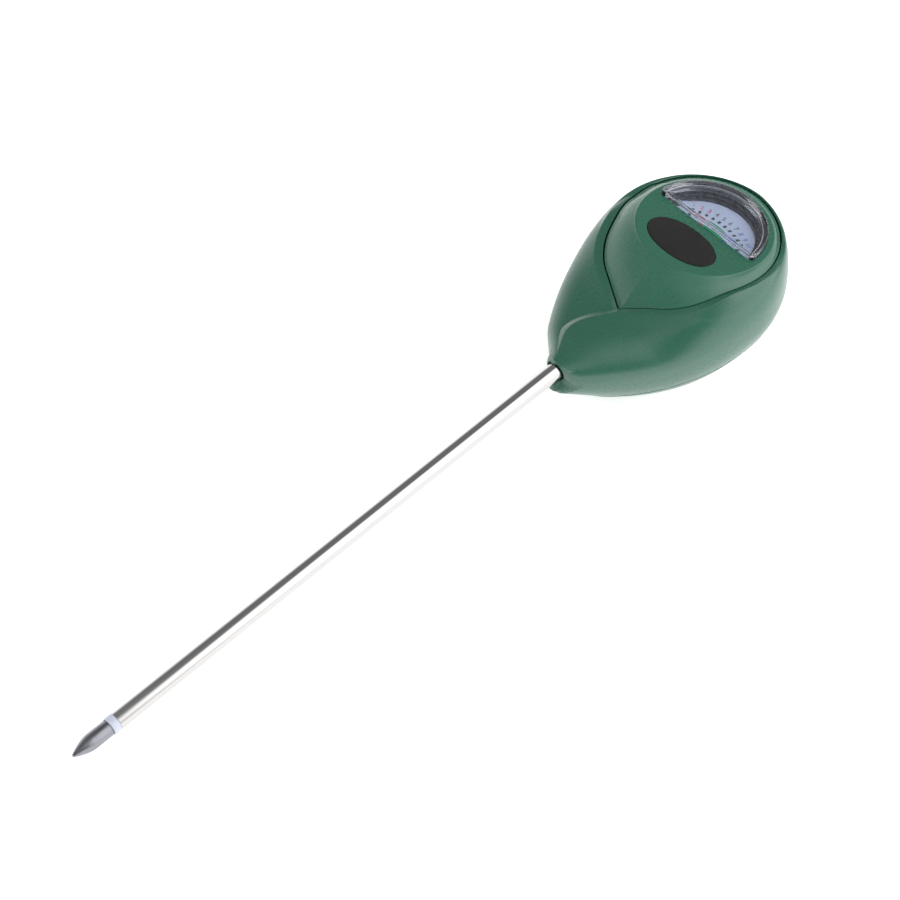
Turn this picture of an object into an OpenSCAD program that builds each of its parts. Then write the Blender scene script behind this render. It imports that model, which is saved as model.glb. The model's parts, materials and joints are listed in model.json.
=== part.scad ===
// Analogue soil probe meter: bud-shaped head with a lensed dial, moving-coil
// movement and a plated probe rod. The meter lies on its back, tip touching.
// Millimetres, +Z up, +X from the probe tip towards the head.
// Most modules work in the head frame: rod axis along X, origin where the rod
// enters the shell, +Z out of the front. lie_down() sets that frame on the bench.

/* [Head shell] */
// Overall width of the head across its widest station
head_w = 38.4; // [36:0.2:42]
// Distance from the rod entry to the crown of the head
crown_x = 56.1; // [55:0.1:58]
// Depth of the head behind its widest level
back_depth = 16.1; // [15:0.1:18]
// Wall thickness of the shell and back cover
wall = 1.6; // [1.3:0.1:2]
// Height of the raised right-hand petal step
petal_step = 0.55; // [0.3:0.05:0.8]
// Level of the parting line between front shell and back cover
split_z = -8.3; // [-9:0.1:-7.5]

/* [Face and lens] */
// Radius of the flat round face
face_r = 13.6; // [13:0.1:14]
// Tilt of the face towards the crown, in degrees
face_tilt = 11; // [9:0.5:12]
// Outer radius of the half-round lens
lens_r = 12.2; // [11.8:0.1:12.3]
// Height of the lens above the face
lens_h = 1.2; // [0.8:0.1:1.6]
// Depth of the dial below the face
dial_depth = 3.0; // [2.8:0.1:3.1]
// Length of the blank oval badge across the face
badge_l = 15.8; // [15:0.1:18]
// Width of the blank oval badge
badge_w = 8.7; // [8:0.1:10]

/* [Pointer] */
// Free length of the pointer from its pivot
pointer_l = 12; // [11:0.5:13]
// Width of the pointer blade
pointer_w = 0.45; // [0.35:0.05:0.6]
// Angle between neighbouring scale numbers, in degrees
scale_step = 6.9; // [6:0.1:7.2]

/* [Probe] */
// Diameter of the plated probe tube
tube_d = 3.5; // [3.2:0.1:3.6]
// Length of the probe from the shell to the end of its tip
probe_l = 118.9; // [90:1:140]
// Diameter of the insulator ring
ring_d = 3.5; // [3:0.02:3.5]
// Length of the insulator ring
ring_l = 1.6; // [1.2:0.1:2.4]
// Diameter of the bare metal tip
tip_d = 3.16; // [2.8:0.02:3.18]
// Length of the straight part of the tip
tip_straight = 3.8; // [3:0.1:6]
// Length of the pointed part of the tip
tip_point = 4.6; // [4:0.1:7]

/* [Hidden] */
fine = 96;
coarse = 40;
eps = 0.02;
big = 80;
tube_r = tube_d / 2;
ring_r = ring_d / 2;
tip_r = tip_d / 2;

// head outline stations
nose_x = -2.4;
wide_x = 36;
deep_x = 28;
nose_w = 2.7;
nose_d = 2.2;
waist_z = -1.6;
blunt = 2.35;
head_wh = head_w / 2;
cavity_x0 = 4;
cavity_x1 = crown_x - wall;
pad_x = 23.7;
pad_cut = 0.44;

// raised panel outline in plan
drop_x = 17;
drop_z = 3.45;
near_x = 34;
near_r = 14.8;
far_x = 38.6;
far_r = 16.5;
far_z = 4;
panel_gap = 0.25;
panel_wall = 1.5;
skirt_z = 1.5;

// face frame
face_x = 40.4;
face_z = 7.54;
pivot_x = -7;
panel_t = 1.6;
dial_t = 0.5;
dial_r = 11.6;
dial_edge = -2.5;
well_r = 10.15;
window_gap = 0.08;
stop_margin = 5;
scale_half = 4.5 * scale_step;
rest_angle = scale_half + stop_margin;

// movement
cup_r = 7.6;
cup_bottom = -13.3;
cup_floor = 0.8;
yoke_r = 6.85;
yoke_in = 5.6;
core_r = 3.6;
core_top = -5.3;
core_bottom = -10.7;
coil_in = 4.0;
coil_mid = 4.3;
coil_out = 4.9;
coil_w = 1.6;
coil_z = (core_top + core_bottom) / 2;
bridge_z = -3.2;
bridge_t = 0.9;
bridge_w = 2.6;
staff_r = 0.35;
jewel_r = 0.9;

// probe
ring_x = -probe_l + tip_point + tip_straight;
tube_x0 = ring_x + ring_l;
tube_x1 = 13;
draw_x = -2.5;
shank_x = 0.4;
shank_r = 1.7;
nose_r = 2.1;
sleeve_r = 1.25;
core_wire_r = 0.65;
post_x = 24;
post_y = 11;

// ---------------------------------------------------------------- outline
function ease(s) = s <= 0 ? 0 : (s >= 1 ? 1 : s * s * (3 - 2 * s));
function below_one(t) = max(0, 1 - t);

// half width of the head in plan at station x
function half_w(x) = x < wide_x
    ? nose_w + (head_wh - nose_w)
        * pow(below_one(pow((wide_x - x) / (wide_x - nose_x), 2.2)), 1.2)
    : head_wh * pow(below_one(pow((x - wide_x) / (crown_x - wide_x), 2)), 0.56);

// depth of the back below the waist at station x
function depth(x) = x < deep_x
    ? nose_d + (back_depth - nose_d)
        * pow(below_one(pow((deep_x - x) / (deep_x - nose_x), 2.2)), 1.2)
    : back_depth * pow(below_one(pow((x - deep_x) / (crown_x - deep_x), 2)), 0.7);

// height of the front above the waist at station x
function rise(x) = (4.2 + 0.06 * min(x, wide_x) + 8.4 * ease((x - 14) / 22))
    * (x < wide_x ? 1
       : pow(below_one(pow((x - wide_x) / (crown_x - wide_x), 2.2)), 0.56));

function spow(v, e) = sign(v) * pow(abs(v), e);

// one ring of the head outline, inset by d
function ring(x, d, count) = [
    for (j = [0 : count - 1])
        let (a = 360 * j / count,
             c = spow(cos(a), 2 / blunt),
             s = spow(sin(a), 2 / blunt),
             h = s > 0 ? rise(x) : depth(x))
        [x, max(0.2, half_w(x) - d) * c, waist_z + max(0.2, h - d) * s]
];

// stations crowded towards the crown
function stations(x0, x1, count) = [
    for (i = [0 : count]) x0 + (x1 - x0) * sin(90 * i / count)
];

module head_loft(d, x0, x1, rows, count) {
    xs = stations(x0, x1, rows);
    rings = [for (x = xs) ring(x, d, count)];
    pts = [for (r = rings) for (p = r) p];
    last = rows * count;
    sides = [
        for (i = [0 : rows - 1]) for (j = [0 : count - 1])
            let (k = (j + 1) % count, a = i * count, b = a + count)
            each [[a + j, b + j, a + k], [a + k, b + j, b + k]]
    ];
    cap0 = [for (j = [0 : count - 1]) j];
    cap1 = [for (j = [0 : count - 1]) last + count - 1 - j];
    polyhedron(pts, concat(sides, [cap0, cap1]), convexity = 4);
}

module outer_loft() {
    head_loft(0, nose_x, crown_x - 0.05, 26, coarse);
}

module cavity_loft(d) {
    head_loft(d, cavity_x0, cavity_x1, 20, coarse);
}

// ---------------------------------------------------------------- placing
// tilt of the rod axis when the back pad and the tip's shoulder share the bench
pad_depth = depth(pad_x) - waist_z - pad_cut;
shoulder_x = probe_l - tip_point;
lie_angle = atan((pad_depth - tip_r) / (shoulder_x + pad_x));
lie_height = shoulder_x * sin(lie_angle) + tip_r * cos(lie_angle);
lie_centre = (probe_l - crown_x) * cos(lie_angle) / 2;

// turn the head frame so that the meter lies on the bench at z = 0
module lie_down() {
    translate([lie_centre, 0, lie_height])
        rotate([0, -lie_angle, 0])
            children();
}

module at_face() {
    translate([face_x, 0, face_z]) rotate([0, face_tilt, 0]) children();
}

module at_pivot() {
    at_face() translate([pivot_x, 0, 0]) children();
}

// the moving parts are drawn at their rest angle
module at_rotor() {
    at_pivot() rotate([0, 0, rest_angle]) children();
}

module along_x() {
    rotate([0, 90, 0]) children();
}

module x_rod(r, x0, x1) {
    translate([x0, 0, 0]) along_x() cylinder(r = r, h = x1 - x0, $fn = fine);
}

module x_tube(r, bore, x0, x1) {
    difference() {
        x_rod(r, x0, x1);
        x_rod(bore, x0 - 1, x1 + 1);
    }
}

module z_ring(r, bore, z0, z1) {
    translate([0, 0, z0]) difference() {
        cylinder(r = r, h = z1 - z0, $fn = fine);
        translate([0, 0, -1]) cylinder(r = bore, h = z1 - z0 + 2, $fn = fine);
    }
}

// ---------------------------------------------------------------- case
module drop_outline(grow) {
    hull() {
        translate([drop_x + 0.3 - grow * 1.2, 0]) circle(r = 0.3, $fn = 16);
        translate([near_x, 0]) circle(r = near_r + grow, $fn = fine);
        translate([far_x, 0]) circle(r = far_r + grow, $fn = fine);
    }
}

// plan of the petal that laps over the rod side of the head
module petal_outline() {
    hull() {
        translate([8, -1.2]) circle(r = 6.4, $fn = 48);
        translate([drop_x - 0.6, -0.6]) circle(r = 0.4, $fn = 16);
        translate([0, -1]) circle(r = 2.6, $fn = 32);
        translate([10, -14]) circle(r = 4, $fn = 32);
    }
    hull() {
        translate([drop_x - 0.6, -0.6]) circle(r = 0.4, $fn = 16);
        translate([near_x, -near_r - 2]) circle(r = 1.6, $fn = 32);
        translate([10, -14]) circle(r = 4, $fn = 32);
        translate([52, -16]) circle(r = 1, $fn = 32);
    }
}

module petal() {
    intersection() {
        head_loft(-petal_step, nose_x, crown_x - 0.3, 26, coarse);
        translate([0, 0, -0.8]) linear_extrude(height = 20) difference() {
            petal_outline();
            drop_outline(0.9);
        }
    }
}

module nose_trim() {
    rotate([90, 0, 0]) translate([0, 0, -big / 2]) linear_extrude(height = big)
        polygon([[-9, 9], [0, 9], [0, 2], [-2, -2.2], [-9, -2.2]]);
}

module screw_posts(z0, z1, r) {
    for (s = [-1, 1])
        translate([post_x, s * post_y, z0]) cylinder(r = r, h = z1 - z0, $fn = 32);
}

module post_ribs() {
    for (s = [-1, 1])
        translate([post_x - 0.8, s > 0 ? post_y : -post_y - 8, split_z])
            cube([1.6, 8, 9]);
}

module slab(z0, z1) {
    translate([-20, -30, z0]) cube([100, 60, z1 - z0]);
}

module front_shell_body() {
    resize([0, 0, 0]) difference() {
        union() {
            difference() {
                union() {
                    outer_loft();
                    petal();
                }
                cavity_loft(wall);
            }
            intersection() {
                outer_loft();
                union() {
                    screw_posts(split_z, 0.8, 2.6);
                    post_ribs();
                }
            }
        }
        slab(-30, split_z);
        nose_trim();
        translate([0, 0, skirt_z - 1.2]) linear_extrude(height = 20)
            drop_outline(panel_gap);
        x_rod(tube_r + 0.05, nose_x - 1, tube_x1 + 2, $fn = coarse);
        x_rod(nose_r, nose_x - 1, 1.4, $fn = coarse);
        x_rod(2.45, 4.6, 7.7, $fn = coarse);
        screw_posts(split_z - 1, -1, 1.15);
    }
}

module front_shell() {
    color([0.16, 0.36, 0.28]) lie_down() front_shell_body();
}

// lip of the back cover that locates inside the front shell
module tongue() {
    intersection() {
        difference() {
            union() {
                intersection() {
                    cavity_loft(wall + 0.05);
                    slab(split_z - 1, split_z + 1.5);
                }
                intersection() {
                    cavity_loft(wall - 0.3);
                    slab(split_z - 1, split_z);
                }
            }
            cavity_loft(wall + 1);
        }
        translate([27, -30, -40]) cube([40, 60, 60]);
    }
}

module back_cover_body() {
    resize([0, 0, 0]) difference() {
        union() {
            intersection() {
                difference() {
                    outer_loft();
                    cavity_loft(wall);
                }
                slab(-30, split_z);
            }
            tongue();
            intersection() {
                outer_loft();
                screw_posts(-17, split_z, 2.6);
            }
        }
        screw_posts(-20, 0, 1.15);
        screw_posts(-22, -11.4, 2.2);
        bench_plane();
    }
}

// everything under the bench, in the head frame
module bench_plane() {
    rotate([0, lie_angle, 0])
        translate([-150, -50, -lie_height - 20])
            cube([300, 100, 20]);
}

module back_cover() {
    color([0.15, 0.34, 0.27]) lie_down() back_cover_body();
}

// drop-shaped foot, sloping walls and the flat round face
module panel_outer() {
    hull() {
        translate([0, 0, skirt_z]) linear_extrude(height = drop_z - skirt_z)
            drop_outline(0);
        translate([near_x, 0, drop_z]) cylinder(r = near_r, h = 2.4, $fn = 64);
        translate([far_x, 0, far_z]) rotate([0, 3.5, 0])
            cylinder(r = far_r, h = 1, $fn = 64);
        at_face() translate([0, 0, -0.6]) cylinder(r = face_r, h = 0.1, $fn = 64);
        at_face() translate([0, 0, -0.1]) cylinder(r = face_r - 0.5, h = 0.1, $fn = 64);
    }
}

module panel_cavity() {
    hull() {
        translate([0, 0, skirt_z - 1]) linear_extrude(height = 2)
            drop_outline(-panel_wall);
        translate([near_x, 0, drop_z]) cylinder(r = near_r - panel_wall, h = 0.9, $fn = 48);
        translate([far_x, 0, far_z - 1.5]) rotate([0, 3.5, 0])
            cylinder(r = far_r - panel_wall, h = 1, $fn = 48);
        at_face() translate([0, 0, -panel_t - 0.3]) cylinder(r = 13.05, h = 0.3, $fn = 64);
    }
}

module lens_plan(r, back) {
    intersection() {
        circle(r = r, $fn = fine);
        translate([back, -r - 1]) square([2 * r, 2 * r + 2]);
    }
}

module face_panel_body() {
    resize([0, 0, 0]) difference() {
        panel_outer();
        panel_cavity();
        at_face() translate([0, 0, -4]) linear_extrude(height = 8)
            lens_plan(lens_r + window_gap, 0);
        at_face() translate([-6.6, 0, -0.5]) scale([badge_w / badge_l, 1, 1])
            cylinder(d = badge_l + 0.1, h = 2, $fn = 64);
    }
}

module face_panel() {
    color([0.18, 0.40, 0.31]) lie_down() face_panel_body();
}

module badge() {
    color([0.05, 0.05, 0.05]) lie_down() at_face()
        translate([-6.6, 0, -0.5]) linear_extrude(height = 0.62)
            scale([badge_w / badge_l, 1]) circle(d = badge_l, $fn = 64);
}

module lens() {
    color([0.85, 0.9, 0.95, 0.35]) lie_down() at_face() difference() {
        translate([0, 0, -1.3]) linear_extrude(height = lens_h + 1.3)
            lens_plan(lens_r, window_gap);
        translate([0, 0, -2]) linear_extrude(height = lens_h + 1)
            lens_plan(lens_r - 0.95, window_gap + 0.95);
    }
}

module window_well() {
    color([0.12, 0.12, 0.14]) lie_down() at_face()
        rotate([0, 0, -90]) rotate_extrude(angle = 180, $fn = fine)
            polygon([[well_r, -dial_depth], [well_r, -2.5], [10.7, -2.5], [10.7, -1.9],
                     [11.2, -1.9], [11.2, -1.32], [12.1, -1.32], [12.1, -panel_t - eps],
                     [13.0, -panel_t - eps], [13.0, -dial_depth]]);
}

// ---------------------------------------------------------------- dial
module dial_plate() {
    color([0.88, 0.91, 0.96]) lie_down() at_face() difference() {
        translate([0, 0, -dial_depth - dial_t]) linear_extrude(height = dial_t)
            lens_plan(dial_r, dial_edge);
        for (s = [-1, 1])
            translate([-1.2, s * 8.6, -5]) cylinder(r = 0.65, h = 3, $fn = coarse);
    }
}

// a flat arc printed on the dial, angles measured from the face centre line
module dial_arc(r0, r1, a0, a1) {
    at_pivot() translate([0, 0, -dial_depth]) rotate([0, 0, a0])
        rotate_extrude(angle = a1 - a0, $fn = fine)
            translate([r0, 0]) square([r1 - r0, 0.06]);
}

function scale_angle(k) = scale_half - (k - 1) * scale_step;

module zone_dry() {
    color([0.72, 0.12, 0.16]) lie_down()
        dial_arc(10, 11, scale_angle(3.46), scale_angle(0.6));
}

module zone_moist() {
    color([0.10, 0.50, 0.30]) lie_down()
        dial_arc(10, 11, scale_angle(7.46), scale_angle(3.54));
}

module zone_wet() {
    color([0.14, 0.28, 0.66]) lie_down()
        dial_arc(10, 11, scale_angle(10.4), scale_angle(7.54));
}

module scale_ticks() {
    color([0.15, 0.18, 0.2]) lie_down() at_pivot()
        for (k = [1 : 10])
            rotate([0, 0, scale_angle(k)]) translate([11.9, -0.28, -dial_depth])
                cube([0.9, 0.56, 0.06]);
}

module dial_screws() {
    color([0.75, 0.75, 0.77]) lie_down() at_face()
        for (s = [-1, 1]) translate([-1.2, s * 8.6, -dial_depth]) difference() {
            union() {
                translate([0, 0, -2]) cylinder(r = 0.6, h = 2, $fn = coarse);
                cylinder(r = 1.1, h = 0.5, $fn = coarse);
            }
            translate([-1.2, -0.13, 0.25]) cube([2.4, 0.26, 1]);
        }
}

// ---------------------------------------------------------------- movement
module movement_cup() {
    color([0.13, 0.13, 0.14]) lie_down() at_pivot() difference() {
        union() {
            translate([0, 0, cup_bottom])
                cylinder(r = cup_r, h = -cup_bottom - dial_depth - dial_t, $fn = fine);
            for (s = [-1, 1])
                translate([3.6, s > 0 ? 5 : -10, -5.5]) cube([3.6, 5, 2]);
        }
        translate([0, 0, cup_bottom + cup_floor])
            cylinder(r = yoke_r + 0.05, h = 20, $fn = fine);
        translate([0, 0, cup_bottom - 1]) cylinder(r = jewel_r, h = 4, $fn = coarse);
        for (s = [-1, 1]) {
            translate([5.8, s * 8.6, -6]) cylinder(r = 0.6, h = 4, $fn = coarse);
            translate([0, s * 3.6, cup_bottom - 1]) cylinder(r = 0.6, h = 3, $fn = coarse);
            translate([0, s * cup_r, -1]) cube([bridge_w + 0.1, 3, 5], center = true);
        }
    }
}

module yoke_ring() {
    color([0.45, 0.46, 0.48]) lie_down() at_pivot()
        z_ring(yoke_r, yoke_in, cup_bottom + cup_floor, -4.8);
}

module core_magnet() {
    color([0.33, 0.33, 0.35]) lie_down() at_pivot()
        translate([0, 0, core_bottom])
            cylinder(r = core_r, h = core_top - core_bottom, $fn = fine);
}

module core_spacers() {
    color([0.72, 0.58, 0.3]) lie_down() at_pivot()
        difference() {
            intersection() {
                translate([0, 0, coil_z]) cube([2 * yoke_in, 2, 3.6], center = true);
                translate([0, 0, -20]) cylinder(r = yoke_in - eps, h = 20, $fn = fine);
            }
            translate([0, 0, -20]) cylinder(r = core_r, h = 20, $fn = fine);
        }
}

module top_bridge() {
    color([0.74, 0.60, 0.32]) lie_down() at_pivot() difference() {
        union() {
            translate([-bridge_w / 2, -cup_r + 0.1, bridge_z])
                cube([bridge_w, 2 * cup_r - 0.2, bridge_t]);
            for (s = [-1, 1])
                translate([-bridge_w / 2, s * (cup_r - 1.46) - 0.6, -4.8])
                    cube([bridge_w, 1.2, 1.6]);
        }
        translate([0, 0, -6]) cylinder(r = jewel_r, h = 6, $fn = coarse);
        for (s = [-1, 1])
            translate([0, s * 6.2, -6]) cylinder(r = 0.5, h = 6, $fn = coarse);
    }
}

module bridge_screws() {
    color([0.78, 0.78, 0.8]) lie_down() at_pivot()
        for (s = [-1, 1]) translate([0, s * 6.2, bridge_z + bridge_t]) {
            translate([0, 0, -2.5]) cylinder(r = 0.48, h = 2.5, $fn = coarse);
            difference() {
                cylinder(r = 0.95, h = 0.45, $fn = coarse);
                translate([-1, -0.12, 0.2]) cube([2, 0.24, 1]);
            }
        }
}

// jewel screw with a conical seat for the pivot
module jewel(h) {
    difference() {
        cylinder(r = jewel_r - eps, h = h, $fn = coarse);
        translate([0, 0, -eps]) cylinder(r1 = 0.5, r2 = 0, h = 0.5, $fn = coarse);
        translate([-1, -0.12, h - 0.25]) cube([2, 0.24, 1]);
    }
}

module top_jewel() {
    color([0.8, 0.66, 0.36]) lie_down() at_pivot() translate([0, 0, -3.4]) jewel(1.5);
}

module bottom_jewel() {
    color([0.8, 0.66, 0.36]) lie_down() at_pivot()
        translate([0, 0, -12.55]) mirror([0, 0, 1]) jewel(1.5);
}

// rectangular loop standing across the core
module loop(inner, outer, z_in, z_out) {
    difference() {
        translate([0, 0, coil_z])
            cube([coil_w, 2 * outer, 2 * z_out], center = true);
        translate([0, 0, coil_z])
            cube([coil_w + 1, 2 * inner, 2 * z_in], center = true);
    }
}

module coil_former() {
    color([0.8, 0.81, 0.83]) lie_down() at_rotor()
        loop(coil_in, coil_mid, 3.0, 3.3);
}

module coil_winding() {
    color([0.72, 0.36, 0.16]) lie_down() at_rotor()
        loop(coil_mid, coil_out, 3.3, 3.9);
}

module pivot_staffs() {
    color([0.7, 0.71, 0.73]) lie_down() at_rotor() {
        translate([0, 0, -4.1]) cylinder(r = staff_r, h = 0.75, $fn = coarse);
        translate([0, 0, -3.35]) cylinder(r1 = staff_r, r2 = 0, h = 0.33, $fn = coarse);
        translate([0, 0, -12.6]) cylinder(r = staff_r, h = 0.7, $fn = coarse);
        translate([0, 0, -12.93]) cylinder(r1 = 0, r2 = staff_r, h = 0.33, $fn = coarse);
    }
}

module pointer() {
    color([0.85, 0.85, 0.86]) lie_down() at_rotor() {
        difference() {
            union() {
                translate([0, 0, -4.1]) cylinder(r = 0.95, h = 0.3, $fn = coarse);
                translate([0, -0.4, -4.1]) cube([2.7, 0.8, 0.3]);
                translate([-3.6, -0.4, -4.1]) cube([3.6, 0.8, 0.3]);
                translate([-0.3, -2.4, -4.1]) cube([0.6, 4.8, 0.3]);
            }
            translate([0, 0, -5]) cylinder(r = staff_r, h = 3, $fn = coarse);
        }
        translate([2.4, -0.4, -4.1]) cube([0.3, 0.8, 1.55]);
        translate([2.4, 0, -2.75]) linear_extrude(height = 0.2)
            polygon([[0, -0.4], [0.3, -0.4], [pointer_l - 3.2, -pointer_w / 2],
                     [pointer_l - 2.4, 0], [pointer_l - 3.2, pointer_w / 2],
                     [0.3, 0.4], [0, 0.4]]);
    }
}

module balance_weights() {
    color([0.76, 0.62, 0.34]) lie_down() at_rotor() {
        translate([-4.6, 0, -4.1]) cylinder(r = 1.0, h = 0.7, $fn = coarse);
        for (s = [-1, 1])
            translate([0, s * 3.0, -4.1]) cylinder(r = 0.6, h = 0.4, $fn = coarse);
    }
}

// flat spiral strip with an inner collet
module hairspring(z) {
    turns = 3;
    steps = 18 * turns;
    r0 = 0.6;
    r1 = 2.0;
    t = 0.07;
    function sp(i, o) = let (a = 360 * turns * i / steps, r = r0 + (r1 - r0) * i / steps + o)
        [r * cos(a), r * sin(a)];
    translate([0, 0, z]) {
        linear_extrude(height = 0.16)
            polygon(concat([for (i = [0 : steps]) sp(i, t)],
                           [for (i = [steps : -1 : 0]) sp(i, -t)]));
        z_ring(0.62, staff_r, 0, 0.16);
    }
}

module top_hairspring() {
    color([0.62, 0.5, 0.3]) lie_down() at_rotor() hairspring(-3.68);
}

module bottom_hairspring() {
    color([0.62, 0.5, 0.3]) lie_down() at_rotor() hairspring(-12.22);
}

module terminal_lugs() {
    color([0.82, 0.7, 0.42]) lie_down() at_pivot()
        for (s = [-1, 1]) translate([0, s * 3.6, cup_bottom]) {
            translate([0, 0, -2.4]) cylinder(r = 0.58, h = 3.2, $fn = coarse);
            translate([0, 0, -0.4]) cylinder(r = 1.2, h = 0.4, $fn = coarse);
        }
}

// ---------------------------------------------------------------- wiring
module link(a, b, r) {
    v = b - a;
    len = norm(v);
    translate(a)
        rotate([0, acos(v[2] / len), atan2(v[1], v[0])])
            cylinder(r = r, h = len, $fn = 24);
}

module wire(path, r) {
    for (i = [0 : len(path) - 2]) link(path[i], path[i + 1], r);
    for (i = [1 : len(path) - 2]) translate(path[i]) sphere(r = r * 1.06, $fn = 24);
}

// terminal positions in the head frame
function lug(s, below = 1.1) = [
    face_x + pivot_x * cos(face_tilt) + (cup_bottom - below) * sin(face_tilt),
    s * 3.6,
    face_z - pivot_x * sin(face_tilt) + (cup_bottom - below) * cos(face_tilt)
];

module load_resistor() {
    c = (lug(1, 2) + lug(-1, 2)) / 2
        - 0.78 * [cos(face_tilt), 0, -sin(face_tilt)];
    color([0.75, 0.66, 0.5]) lie_down() translate(c) rotate([90, 0, 0]) {
        translate([0, 0, -1.6]) cylinder(r = 0.8, h = 3.2, $fn = coarse);
        translate([0, 0, -3.6]) cylinder(r = 0.22, h = 7.2, $fn = 24);
    }
}

module lead_red() {
    e = lug(1);
    color([0.7, 0.08, 0.08]) lie_down()
        wire([[tube_x1 + 1.6, 0, 0], [tube_x1 + 2.6, 0, 0], [18, 0.8, -0.8], [23, 3.4, -4.4],
              [e[0] - 0.98, e[1] + 0.3, e[2]]], 0.45);
}

module lead_black() {
    e = lug(-1);
    color([0.06, 0.06, 0.06]) lie_down()
        wire([[12.2, -shank_r - 0.43, 0], [16, -3.3, -1.5], [22.5, -4.7, -4.9],
              [e[0] - 0.98, e[1] - 0.3, e[2]]], 0.45);
}

// ---------------------------------------------------------------- probe
// full size over its free length, drawn down a little where it enters the head
module probe_tube() {
    bore = sleeve_r + eps;
    color([0.86, 0.87, 0.88]) lie_down() along_x() rotate_extrude($fn = fine)
        polygon([[bore, tube_x0], [tube_r, tube_x0], [tube_r, draw_x],
                 [shank_r, shank_x], [shank_r, tube_x1], [bore, tube_x1]]);
}

module insulating_sleeve() {
    color([0.9, 0.9, 0.86]) lie_down()
        x_tube(sleeve_r, core_wire_r + eps, tube_x0, tube_x1 + 0.8);
}

module inner_rod() {
    color([0.6, 0.61, 0.62]) lie_down() x_rod(core_wire_r, ring_x, tube_x1 + 1.6);
}

module insulator_ring() {
    color([0.86, 0.9, 0.95]) lie_down() x_tube(ring_r, core_wire_r + eps, ring_x, tube_x0);
}

module probe_tip() {
    color([0.58, 0.59, 0.6]) lie_down()
        translate([-probe_l, 0, 0]) along_x() rotate_extrude($fn = fine)
            polygon(concat(
                [[0, 0], [0.28, 0.06]],
                [for (i = [1 : 8])
                    let (s = i / 8)
                    [0.28 + (tip_r - 0.28) * sin(90 * s), 0.06 + (tip_point - 0.06) * s]],
                [[tip_r, tip_point + tip_straight], [0, tip_point + tip_straight]]));
}

module tube_collar() {
    color([0.74, 0.6, 0.32]) lie_down() x_tube(2.4, shank_r, 4.7, 7.6);
}

module entry_grommet() {
    color([0.04, 0.04, 0.04]) lie_down() x_tube(nose_r - 0.05, shank_r, shank_x, 1.4);
}

module case_screws() {
    color([0.6, 0.6, 0.62]) lie_down() for (s = [-1, 1])
        translate([post_x, s * post_y, -11.4]) difference() {
            union() {
                cylinder(r = 1.1, h = 9.6, $fn = coarse);
                translate([0, 0, -1.3]) cylinder(r = 2.05, h = 1.3, $fn = coarse);
            }
            for (a = [0, 90]) rotate([0, 0, a])
                translate([-1.2, -0.2, -1.8]) cube([2.4, 0.4, 1.1]);
        }
}

front_shell();
back_cover();
face_panel();
badge();
lens();
window_well();
dial_plate();
zone_dry();
zone_moist();
zone_wet();
scale_ticks();
dial_screws();
movement_cup();
yoke_ring();
core_magnet();
core_spacers();
top_bridge();
bridge_screws();
top_jewel();
bottom_jewel();
coil_former();
coil_winding();
pivot_staffs();
pointer();
balance_weights();
top_hairspring();
bottom_hairspring();
terminal_lugs();
load_resistor();
lead_red();
lead_black();
probe_tube();
insulating_sleeve();
inner_rod();
insulator_ring();
probe_tip();
tube_collar();
entry_grommet();
case_screws();
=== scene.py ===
import json
import math

import bmesh
import bpy
import numpy as np
from mathutils import Matrix, Vector


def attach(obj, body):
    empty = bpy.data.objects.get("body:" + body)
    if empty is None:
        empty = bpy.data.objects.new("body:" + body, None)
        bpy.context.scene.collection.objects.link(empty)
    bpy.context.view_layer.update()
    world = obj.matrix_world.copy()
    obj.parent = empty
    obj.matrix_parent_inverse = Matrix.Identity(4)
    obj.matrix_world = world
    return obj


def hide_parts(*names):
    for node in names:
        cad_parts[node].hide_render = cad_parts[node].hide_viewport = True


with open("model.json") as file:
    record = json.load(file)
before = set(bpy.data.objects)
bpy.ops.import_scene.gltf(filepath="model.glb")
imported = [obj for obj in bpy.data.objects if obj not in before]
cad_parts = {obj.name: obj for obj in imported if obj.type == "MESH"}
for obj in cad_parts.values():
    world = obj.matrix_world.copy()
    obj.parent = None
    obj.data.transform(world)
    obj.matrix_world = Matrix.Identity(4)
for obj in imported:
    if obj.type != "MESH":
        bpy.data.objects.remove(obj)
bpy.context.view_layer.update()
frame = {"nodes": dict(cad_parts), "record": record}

record = frame["record"]
MM = 0.001

# ------------------------------------------------------------------ head shape
NOSE_X, CROWN_X = -2.4, 56.1        # both ends of the head
WIDE_X, DEEP_X = 36.0, 28.0         # where it is widest, and deepest behind
HALF_W, NOSE_W = 19.2, 2.7          # half width there, and at the nose
BACK_D, NOSE_D = 16.1, 2.2          # depth behind the waist there, and at the nose
WAIST_Z = -1.6                      # height at which every station is widest
SPLIT_Z = -8.3                      # parting plane of the shell and the cover
BLUNT = 2.35                        # power of each station's superellipse
CENTRE = np.array([38.0, 0.0])      # rays round the panel start here

PANEL_GAP = 0.25                    # groove between the panel and the shell
DROP_X, DROP_R = 17.3, 0.3          # the panel's point, and the two circles behind it
NEAR_X, NEAR_R, FAR_X, FAR_R = 34.0, 14.8, 38.6, 16.5
RIGHT_IN = 1.1                      # the petal covers this much more of its right side

# Face frame: origin on the face's middle, tilted towards the crown
FACE = np.array([40.4, 0.0, 7.54])
TILT = math.radians(11)
FACE_R = 13.6
PIVOT_X, PIVOT_Z = -7.0, -3.35      # the pointer's pivot
SCALE_STEP = 6.9                    # degrees from one dial number to the next
LENS_R, LENS_FRONT, LENS_TOP, LENS_FOOT = 12.2, 0.08, 1.2, -1.3
LENS_WALL = 0.95
BADGE_X, BADGE_L, BADGE_W = -6.6, 15.8, 8.7

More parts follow.
